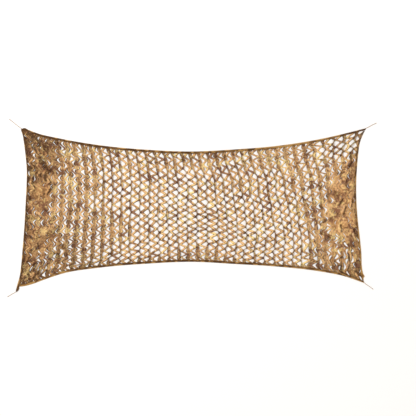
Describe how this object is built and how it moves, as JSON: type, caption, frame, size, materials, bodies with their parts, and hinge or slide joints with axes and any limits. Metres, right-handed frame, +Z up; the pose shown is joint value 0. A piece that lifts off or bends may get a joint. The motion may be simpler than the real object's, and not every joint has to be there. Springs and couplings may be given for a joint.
{
  "type": "camouflage net",
  "caption": "Flat slit-cut camouflage cloth pulled open into a net, bound along its four edges, with a short tie cord at each corner.",
  "frame": {"origin": "on the surface the netting lies on, under the middle of its box without the ties", "axes": "+X along the long side, +Y across to the upper long edge, +Z up off the surface"},
  "size_m": [3.3558, 1.6212, 0.0159],
  "materials": {
    "camouflage_cloth": "thin matt woven cloth in tan, ochre and brown camouflage blotches",
    "binding_cloth": "the same cloth folded double and sewn, darker",
    "tie_cord": "pale twisted cord"
  },
  "bodies": {
    "root": {"net_panel": "camouflage_cloth", "top_binding": "binding_cloth", "bottom_binding": "binding_cloth", "left_binding": "binding_cloth", "right_binding": "binding_cloth", "tie_top_left": "tie_cord", "tie_top_right": "tie_cord", "tie_bottom_left": "tie_cord", "tie_bottom_right": "tie_cord"}
  },
  "joints": []
}
